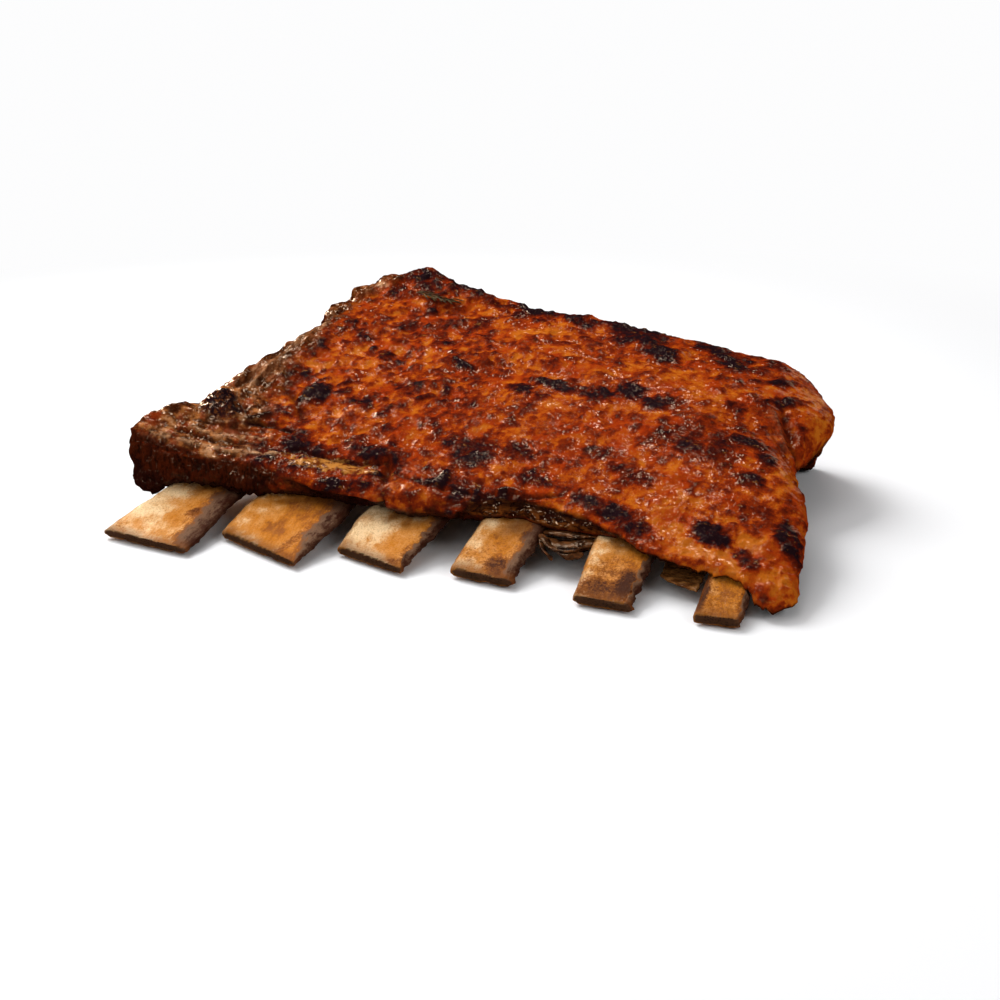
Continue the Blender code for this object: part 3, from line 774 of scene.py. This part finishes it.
def ribbon(bm, route, width, thickness, twist, seed, sides=8, steps=26):
    """A flat strand along a smooth line through `route`, narrowing at its ends and frayed."""
    line = centre_line(route, steps, seed)
    ahead = np.gradient(line, axis=0)
    ahead /= np.linalg.norm(ahead, axis=1)[:, None]
    flat = np.cross(ahead, (0, 0, 1))
    flat /= np.maximum(np.linalg.norm(flat, axis=1), 1e-6)[:, None]
    upright = np.cross(flat, ahead)
    rings = []
    for step, share in enumerate(np.linspace(0, 1, steps)):
        taper = 0.25 + 0.75 * math.sin(math.pi * share) ** 0.5
        turn = math.radians(twist) * share
        first = flat[step] * math.cos(turn) + upright[step] * math.sin(turn)
        second = upright[step] * math.cos(turn) - flat[step] * math.sin(turn)
        ring = []
        for side in range(sides):
            angle = 2 * math.pi * side / sides
            ragged = 1 + 0.35 * chance(np.array([[step, side, seed]]), seed)[0]
            offset = first * math.cos(angle) * width / 2 * taper * ragged
            offset = offset + second * math.sin(angle) * thickness / 2 * taper
            ring.append(bm.verts.new((line[step] + offset) * MM))
        rings.append(ring)
    for near, far in zip(rings, rings[1:]):
        for side in range(sides):
            after = (side + 1) % sides
            bm.faces.new((near[side], near[after], far[after], far[side]))
    bm.faces.new(rings[0][::-1])
    bm.faces.new(rings[-1])


def build_shred():
    """The torn membrane between the fourth and fifth bones, as one piece of several strands."""
    bm = bmesh.new()
    for number, (route, width, thickness, twist) in enumerate(SHRED_STRANDS):
        ribbon(bm, route, width, thickness, twist, 300 + 7 * number)
    bmesh.ops.recalc_face_normals(bm, faces=bm.faces)
    shred = piece_from(bm, "torn_shred")
    move_to(shred.data, keep_inside(points_of(shred.data)))
    look = membrane_material("torn_membrane", SHRED_LIGHT, SHRED_DARK, 0.35)
    finish(shred, look, "membrane_shred")


def build_strip():
    """The wet translucent strip between the last two bones."""
    strip = piece_from(cad_copy("membrane_strip"), "clear_strip")
    remesh(strip, STRIP_VOXEL, 1)
    points, normals = points_of(strip.data), normals_of(strip.data)
    height = 0.7 * rough(points, (9, 3, 3), 81, 3) + 0.5 * rough(points, 3, 84, 2)
    move_to(strip.data, keep_inside(points + normals * height[:, None]))
    look = membrane_material("clear_membrane", STRIP_LIGHT, STRIP_DARK, 0.25)
    finish(strip, look, "membrane_strip")


def build_sprig():
    """Roasted rosemary needles lying on the crust, fanned out from one stem."""
    bm = bmesh.new()
    for number, route in enumerate(needle_routes()):
        ribbon(bm, route, NEEDLE_WIDTH, NEEDLE_THICKNESS, 20, 500 + 3 * number, 6, 8)
    bmesh.ops.recalc_face_normals(bm, faces=bm.faces)
    finish(piece_from(bm, "rosemary_sprig"), herb_material())


def needle_routes():
    """The stem's line and one for each needle, resting on the crust along the sprig."""
    start, end = np.array(SPRIG_START), np.array(SPRIG_END)
    ahead = (end - start) / np.linalg.norm(end - start)
    aside = np.cross((0, 0, 1), ahead)
    yield (start, (start + end) / 2 + (0, 0, STEM_RISE), end)
    for number in range(NEEDLE_COUNT):
        share = number / (NEEDLE_COUNT - 1)
        luck = chance(np.array([[number, 3, 7], [number, 5, 11], [number, 9, 2]]), 71)
        foot = start + (end - start) * share
        side = 1 if number % 2 else -1
        length = NEEDLE_LENGTH * (0.7 + 0.5 * luck[0])
        lean = side * (0.15 + 0.65 * luck[1])
        tip = foot + length * (ahead * 0.9 + aside * lean) + (0, 0, 1.6 * luck[2] - 0.4)
        yield (foot, (foot + tip) / 2 + (0, 0, NEEDLE_RISE), tip)


# ============ materials
class Nodes:
    """Short calls for building a material's nodes."""

    def __init__(self, name):
        self.material = bpy.data.materials.new(name)
        self.material.use_nodes = True
        self.tree = self.material.node_tree
        self.shader = self.tree.nodes["Principled BSDF"]
        self.where = self.tree.nodes.new("ShaderNodeTexCoord").outputs["Object"]

    def feed(self, socket, value):
        """Links a socket to another node's output, or sets its plain value or colour."""
        if isinstance(value, bpy.types.NodeSocket):
            self.tree.links.new(value, socket)
        else:
            socket.default_value = (*value, 1) if socket.type == "RGBA" else value

    def put(self, kind, inputs, output=0, **settings):
        """Adds a node and gives one of its outputs."""
        node = self.tree.nodes.new("ShaderNode" + kind)
        for name, value in settings.items():
            setattr(node, name, value)
        for key, value in inputs.items():
            self.feed(node.inputs[key], value)
        return node.outputs[output]

    def mask(self, name):
        return self.put("Attribute", {}, "Fac", attribute_name=name)

    def noise(self, size, detail=4, keep=0.55, squeeze=None):
        """Noise from 0 to 1, its features `size` millimetres over `squeeze` along each axis."""
        where = self.where
        if squeeze:
            where = self.put("Mapping", {"Vector": where, "Scale": squeeze})
        return self.put("TexNoise", {
            "Vector": where, "Scale": 1 / (size * MM), "Detail": detail, "Roughness": keep,
        })

    def cells(self, size):
        """Distance from the nearest of scattered points about `size` millimetres apart."""
        return self.put("TexVoronoi", {"Vector": self.where, "Scale": 1 / (size * MM)}, "Distance")

    def total(self, start, *terms):
        """`start` plus weight * (value - middle) for each (value, middle, weight)."""
        result = start - sum(middle * weight for _, middle, weight in terms)
        for value, _, weight in terms:
            result = self.put("Math", {0: value, 1: weight, 2: result}, operation="MULTIPLY_ADD")
        return result

    def weigh(self, *terms):
        """Sum of value * weight for each (value, weight)."""
        return self.total(0, *((value, 0, weight) for value, weight in terms))

    def colors(self, value, *stops):
        """A colour from (place, colour) stops between 0 and 1."""
        node = self.tree.nodes.new("ShaderNodeValToRGB")
        self.tree.links.new(value, node.inputs[0])
        elements = node.color_ramp.elements
        while len(elements) < len(stops):
            elements.new(1.0)
        for element, (place, color) in zip(elements, stops):
            element.position = place
            element.color = (*color, 1)
        return node.outputs[0]

    def ramp(self, value, low, high, start=0, end=1):
        """Smooth fade from `start` at `low` to `end` at `high`."""
        return self.put("MapRange", {
            "Value": value, "From Min": low, "From Max": high, "To Min": start, "To Max": end,
        }, interpolation_type="SMOOTHSTEP")

    def math(self, operation, a, b):
        return self.put("Math", {0: a, 1: b}, operation=operation)

    def times(self, a, b):
        return self.math("MULTIPLY", a, b)

    def blend(self, share, a, b):
        """Colour `a` where `share` is 0 and `b` where it is 1."""
        return self.put("Mix", {0: share, 6: a, 7: b}, 2, data_type="RGBA")

    def bump(self, height, distance, under=None):
        """Bump of `distance` millimetres, over the bump `under`."""
        inputs = {"Height": height, "Distance": distance * MM, "Strength": 1}
        if under is not None:
            inputs["Normal"] = under
        return self.put("Bump", inputs)

    def set(self, **sockets):
        """Sets the shader's inputs, with _ for each space in a name, and gives the material."""
        for name, value in sockets.items():
            self.feed(self.shader.inputs[name.replace("_", " ")], value)
        return self.material


# Colours, as linear red, green and blue.
AMBER = (0.47, 0.116, 0.008)
ORANGE = (0.365, 0.058, 0.004)
CRIMSON = (0.3, 0.024, 0.003)
RUST = (0.215, 0.022, 0.003)
MAROON = (0.105, 0.01, 0.003)
PLUM = (0.044, 0.005, 0.003)
SOOT = (0.0125, 0.0045, 0.006)
LEAN = (0.014, 0.003, 0.001)
LEAN_RED = (0.052, 0.008, 0.002)
LEAN_PALE = (0.12, 0.036, 0.012)
TORN_TAN = (0.4, 0.13, 0.03)
# Pale pinkish cream: pale torn sheets, partly painted highlight.
HIGHLIGHT_PALE = (0.6, 0.3, 0.14)
TORN_GREY = (0.25, 0.082, 0.03)
TORN_BROWN = (0.13, 0.036, 0.009)
TORN_DARK = (0.045, 0.009, 0.002)
FAT = (0.44, 0.17, 0.03)
FAT_DARK = (0.11, 0.02, 0.003)
WET = (0.165, 0.044, 0.007)
WET_DARK = (0.018, 0.003, 0.001)
# Near-black for painted shade, and for the charred scrap's own dark.
PAINTED_SHADE = (0.014, 0.003, 0.002)
BONE_TAN = (0.61, 0.255, 0.06)
BONE_GOLD = (0.52, 0.17, 0.013)
BONE_BROWN = (0.27, 0.078, 0.012)
# Cream: pale bare bone, partly painted highlight.
BONE_HIGHLIGHT_CREAM = (0.88, 0.61, 0.33)
# Dark brown: the bones' own stains, and painted shade on their flanks and under the meat.
BONE_STAIN_AND_SHADE = (0.045, 0.012, 0.006)
# Grey-brown flank, partly painted shade.
BONE_FLANK_AND_SHADE = (0.16, 0.082, 0.046)
BONE_END = (0.055, 0.022, 0.01)
BONE_RIM = (0.17, 0.048, 0.01)
MARROW = (0.026, 0.011, 0.005)
SHRED_LIGHT = (0.17, 0.058, 0.016)
SHRED_DARK = (0.022, 0.006, 0.002)
STRIP_LIGHT = (0.4, 0.165, 0.045)
STRIP_DARK = (0.12, 0.038, 0.009)
HERB_LIGHT = (0.09, 0.058, 0.022)
HERB_DARK = (0.022, 0.015, 0.006)


def crust_color(n):
    """Amber hollows, orange skin, maroon blisters and plum-black tops, by one field of heat."""
    tide = n.noise(32, 3, 0.5)
    mottle = n.noise(8, 4, 0.64, (1, 0.72, 0.85))
    fleck = n.noise(3, 3, 0.62)
    speck = n.noise(1.2, 2, 0.65)
    calm = n.math("SUBTRACT", 1, n.mask("coarse"))
    cloud = n.noise(22, 5, 0.66, (1, 0.7, 0.85))
    # The gold mask lightens the heat: partly paler crust, partly painted light.
    heat = n.total(
        0.52, (tide, 0.5, 0.75), (mottle, 0.5, 0.95), (fleck, 0.5, 0.3), (speck, 0.5, 0.3),
        (n.mask("peak"), 0.4, 0.85), (n.mask("char"), 0, 0.45), (n.mask("gold"), 0, -0.4),
    )
    smoother = n.total(
        0.5, (cloud, 0.5, 1.15), (mottle, 0.5, 0.45), (fleck, 0.5, 0.3), (speck, 0.5, 0.36),
        (n.mask("peak"), 0.4, 0.45), (n.mask("char"), 0, 0.52), (n.mask("gold"), 0, -0.4),
    )
    heat = n.weigh((n.times(heat, n.mask("coarse")), 1), (n.times(smoother, calm), 1))
    color = n.colors(heat, (0.27, AMBER), (0.42, ORANGE), (0.54, RUST), (0.69, MAROON), (0.84, PLUM),
                     (0.98, SOOT))
    flush = n.ramp(n.noise(15, 3, 0.55), 0.46, 0.64, 0, 0.7)
    return n.blend(n.times(flush, n.ramp(heat, 0.66, 0.46)), color, CRIMSON)


def torn_color(n, mottle, lean_grain, sheet_grain):
    """Grey-brown shreds of torn meat, tan layers near the front, and ruddy patches over both."""
    ruddy = n.blend(n.ramp(mottle, 0.42, 0.58), TORN_DARK, RUST)
    torn_grain = n.noise(3, 4, 0.6, (1, 0.2, 0.5))
    grey = n.weigh((torn_grain, 0.34), (n.noise(14, 3, 0.6), 0.26), (mottle, 0.22), (lean_grain, 0.18))
    # The palest stop is partly painted highlight on the torn meat.
    grey = n.colors(grey, (0.44, TORN_DARK), (0.5, TORN_BROWN), (0.55, TORN_GREY), (0.64, HIGHLIGHT_PALE))
    grey = n.blend(n.ramp(n.noise(12, 4, 0.65), 0.46, 0.66, 0, 0.6), grey, ruddy)
    layers = n.noise(5.5, 5, 0.62, (0.36, 1, 1))
    tan = n.weigh((layers, 0.6), (sheet_grain, 0.15), (mottle, 0.25))
    # The palest stop is partly painted highlight on the torn layers.
    tan = n.colors(tan, (0.42, TORN_DARK), (0.47, TORN_BROWN), (0.53, TORN_TAN), (0.61, HIGHLIGHT_PALE))
    tan = n.blend(n.ramp(n.noise(10, 5, 0.65), 0.44, 0.56, 0, 0.85), tan, ruddy)
    return n.blend(n.mask("tan"), grey, tan)


def fat_over(n, color, fleck, sheet_grain):
    """The streak of fat, marbled along its length, laid over `color`."""
    fatty = n.total(0, (n.mask("fat"), 0, 1), (fleck, 0.5, 1.2), (sheet_grain, 0.5, 1.6))
    marbling = n.noise(2.4, 3, 0.65, (0.5, 1, 1))
    marbled = n.blend(n.ramp(marbling, 0.4, 0.58), FAT_DARK, FAT)
    return n.blend(n.ramp(fatty, 0.15, 0.75), color, marbled)


def roast_color(n, mottle, strand):
    """Colour of the slab: the crust, with each other zone laid over it in turn."""
    fleck = n.noise(2.8, 3, 0.6)
    lean_grain = n.noise(3.2, 5, 0.72, (1, 1, 0.55))
    sheet_grain = n.noise(2.1, 4, 0.66, (0.34, 1, 1))
    wet_grain = n.noise(4, 5, 0.68, (0.7, 1, 1.3))
    cut = n.weigh((lean_grain, 0.6), (strand, 0.4))
    cut = n.colors(cut, (0.42, LEAN), (0.54, LEAN_RED), (0.6, LEAN_RED), (0.7, LEAN_PALE))
    color = n.blend(n.mask("torn"), crust_color(n), torn_color(n, mottle, lean_grain, sheet_grain))
    color = fat_over(n, color, fleck, sheet_grain)
    color = n.blend(n.mask("wet"), color, n.blend(n.ramp(wet_grain, 0.44, 0.6), WET_DARK, WET))
    color = n.blend(n.mask("lean"), color, cut)
    color = n.blend(n.mask("under"), color, n.blend(n.ramp(mottle, 0.4, 0.6), LEAN, LEAN_RED))
    # Paler strands along the ridges, partly painted highlight.
    color = n.blend(n.times(n.mask("pale_and_highlight"), n.ramp(fleck, 0.35, 0.6)), color, HIGHLIGHT_PALE)
    color = n.blend(n.mask("burnt"), color, n.blend(n.ramp(fleck, 0.48, 0.68), SOOT, TORN_BROWN))
    # Painted shade from the shade mask over everything, and the charred scrap's own dark.
    return n.blend(n.mask("shade"), color, PAINTED_SHADE)


def grease(n):
    """Weight of the glossy coat: in patches on the crust, in beads on fresh meat, little on char."""
    patches = n.ramp(n.noise(11, 3, 0.6), 0.42, 0.6, 0.05, 0.5)
    fresh = n.weigh(*((n.mask(name), 1) for name in ("torn", "wet", "lean")))
    patches = n.times(patches, n.math("SUBTRACT", 1, fresh))
    beads = n.times(fresh, n.ramp(n.noise(6, 2, 0.6), 0.4, 0.54, 0.06, 1))
    beads = n.times(beads, n.ramp(n.mask("lean"), 0, 1, 1, 0.28))
    coat = n.math("MAXIMUM", patches, beads)
    coat = n.math("MAXIMUM", coat, n.times(n.mask("gold"), 0.9))
    return n.times(coat, n.ramp(n.mask("char"), 0.3, 1, 1, 0.35))


def roast_material():
    n = Nodes("roast_crust")
    mottle = n.noise(7, 3, 0.6)
    strand = n.noise(1.5, 3, 0.6, (1, 1, 0.3))
    shreds = n.noise(4.5, 1, 0.5, (0.7, 0.5, 0.7))
    bundles = n.noise(2.2, 1, 0.5, (1, 1, 0.5))
    fibres = n.weigh((n.times(shreds, n.mask("torn")), 1.6), (n.times(bundles, n.mask("lean")), 1))
    surface = n.bump(n.noise(5, 2, 0.5), 1)
    surface = n.bump(n.noise(2, 1, 0.5), 0.26, surface)
    surface = n.bump(fibres, 0.6, surface)
    torn_strand = n.noise(1.3, 3, 0.6, (0.5, 0.5, 1))
    ragged = n.weigh((n.times(strand, n.mask("lean")), 1), (n.times(torn_strand, n.mask("torn")), 1))
    grainy = n.bump(ragged, 1, n.bump(n.noise(1.4, 3, 0.65), 0.35, surface))
    return n.set(
        Base_Color=roast_color(n, mottle, strand), Roughness=n.ramp(mottle, 0.35, 0.7, 0.45, 0.7),
        Normal=grainy, Specular_IOR_Level=0, Coat_Weight=grease(n), Coat_Roughness=0.06,
        Coat_IOR=1.45, Coat_Normal=surface,
    )


def bone_material():
    n = Nodes("roasted_bone")
    cloud = n.noise(12, 4, 0.6)
    lines = n.noise(1.1, 3, 0.6, (0.8, 0.1, 0.8))
    fleck = n.noise(1.6, 3, 0.62)
    dots = n.noise(0.9, 2, 0.6)
    # The cream mask pulls towards cream: partly painted highlight on the lit tops.
    warm = n.total(0.42, (cloud, 0.5, 1.7), (n.mask("gold"), 0, 0.4), (lines, 0.5, 0.45),
                   (n.mask("cream_and_highlight"), 0, -0.45), (dots, 0.5, 0.25))
    color = n.colors(warm, (0, BONE_HIGHLIGHT_CREAM), (0.4, BONE_TAN), (0.76, BONE_GOLD), (1, BONE_BROWN))
    color = n.blend(n.ramp(fleck, 0.66, 0.76, 0, 0.8), color, BONE_STAIN_AND_SHADE)
    color = n.blend(n.ramp(n.noise(0.7, 2, 0.6), 0.48, 0.68, 0, 0.45), color, BONE_BROWN)
    blot = n.total(-0.28, (n.mask("stain"), 0, 1.4), (fleck, 0.5, 1.3), (cloud, 0.5, 0.8),
                   (dots, 0.5, 0.9))
    color = n.blend(n.ramp(blot, 0.05, 0.55), color, BONE_BROWN)
    color = n.blend(n.ramp(blot, 0.4, 1.05), color, BONE_STAIN_AND_SHADE)
    # The flank's grey and dark: partly their own colour, partly painted shade on the side away from
    # the light.
    grey = n.total(0, (n.mask("side"), 0, 1.15), (lines, 0.5, 0.9), (cloud, 0.5, 0.6),
                   (dots, 0.5, 0.5))
    for low, high, tone in ((0.1, 0.5, BONE_BROWN), (0.3, 0.7, BONE_FLANK_AND_SHADE), (0.8, 1.25, BONE_STAIN_AND_SHADE)):
        color = n.blend(n.ramp(grey, low, high), color, tone)
    # Painted shadow of the meat on the bones.
    color = n.blend(n.times(n.mask("meat_shadow"), 0.7), color, BONE_STAIN_AND_SHADE)
    color = n.blend(n.mask("rim"), color, BONE_RIM)
    color = n.blend(n.mask("end"), color, BONE_END)
    spongy = n.times(n.mask("marrow"), n.ramp(n.cells(1.1), 0.55, 0.25))
    color = n.blend(spongy, color, MARROW)
    surface = n.bump(fleck, 0.4)
    surface = n.bump(lines, 0.5, surface)
    shine = n.ramp(cloud, 0.35, 0.7, 0.45, 0.65)
    return n.set(Base_Color=color, Roughness=shine, Normal=surface, Specular_IOR_Level=0.02,
                 Coat_Weight=0.16, Coat_Roughness=0.12, Coat_Normal=surface)


def membrane_material(name, light, dark, roughness):
    n = Nodes(name)
    strands = n.noise(3, 5, 0.7, (0.6, 1, 1))
    color = n.blend(n.ramp(strands, 0.4, 0.66), dark, light)
    surface = n.bump(n.noise(2.4, 1, 0.5), 0.7)
    surface = n.bump(strands, 0.3, surface)
    return n.set(Base_Color=color, Roughness=roughness, Normal=surface, Specular_IOR_Level=0.1,
                 Coat_Weight=1, Coat_Roughness=0.07, Coat_Normal=surface)


def herb_material():
    n = Nodes("roasted_rosemary")
    color = n.blend(n.ramp(n.noise(3, 3, 0.5), 0.4, 0.62), HERB_DARK, HERB_LIGHT)
    return n.set(Base_Color=color, Roughness=0.55, Normal=n.bump(n.noise(0.8), 0.15),
                 Specular_IOR_Level=0.08)


def floor_material():
    """Pale floor that turns into the evenly lit backdrop away from the food."""
    n = Nodes("pale_floor")
    away = n.put("VectorMath", {0: n.where}, 1, operation="LENGTH")
    n.set(Base_Color=FLOOR_COLOR, Roughness=0.7, Specular_IOR_Level=0)
    glow = n.put("Emission", {"Color": BACKDROP})
    both = n.put("MixShader", {0: n.ramp(away, *FLOOR_FADE), 1: n.shader.outputs[0], 2: glow})
    n.tree.links.new(both, n.tree.nodes["Material Output"].inputs["Surface"])
    return n.material


# ============ stage
def aim(obj, target):
    obj.rotation_euler = (Vector(target) - obj.location).to_track_quat("-Z", "Y").to_euler()


def build_world():
    """Even backdrop for the camera and a weaker ambient light that leaves no reflections."""
    world = bpy.data.worlds.new("studio")
    world.use_nodes = True
    tree = world.node_tree
    ambient = tree.nodes["Background"]
    ambient.inputs["Color"].default_value = (1, 1, 1, 1)
    ambient.inputs["Strength"].default_value = AMBIENT
    seen = tree.nodes.new("ShaderNodeBackground")
    seen.inputs["Color"].default_value = (*BACKDROP, 1)
    path = tree.nodes.new("ShaderNodeLightPath")
    both = tree.nodes.new("ShaderNodeMixShader")
    tree.links.new(path.outputs["Is Camera Ray"], both.inputs[0])
    tree.links.new(ambient.outputs[0], both.inputs[1])
    tree.links.new(seen.outputs[0], both.inputs[2])
    tree.links.new(both.outputs[0], tree.nodes["World Output"].inputs["Surface"])
    world.cycles_visibility.glossy = False
    bpy.context.scene.world = world


def build_stage():
    bm = bmesh.new()
    bmesh.ops.create_circle(bm, cap_ends=True, segments=64, radius=FLOOR_RADIUS)
    floor = piece_from(bm, "floor")
    floor.data.materials.append(floor_material())
    floor.visible_glossy = False
    for gleams, lights in ((False, SHADING), (True, GLEAMS)):
        for name, light in lights.items():
            build_light(name, light, gleams)


def build_light(name, light, gleams):
    place, target, size, power = light
    lamp = bpy.data.lights.new(name, "AREA")
    lamp.size = size
    lamp.energy = power
    if gleams:
        lamp.color = GLEAM_COLOR
    obj = link(name, lamp)
    obj.location = place
    obj.visible_glossy = gleams
    obj.visible_diffuse = not gleams
    aim(obj, target)


def build_camera():
    data = bpy.data.cameras.new("camera")
    data.lens = CAMERA_LENS
    data.sensor_width = CAMERA_SENSOR
    data.clip_end = CAMERA_FAR
    camera = link("camera", data)
    camera.location = Vector(CAMERA_PLACE) * MM
    camera.rotation_euler = (math.radians(90 - CAMERA_PITCH), 0, math.radians(CAMERA_AZIMUTH))
    bpy.context.scene.camera = camera


build_camera()
build_world()
build_stage()
bpy.context.scene.view_settings.view_transform = "Standard"
build_slab()
bone_look = bone_material()
for number, look in enumerate(BONE_LOOKS, 1):
    build_bone(number, look, bone_look)
build_shred()
build_strip()
build_sprig()
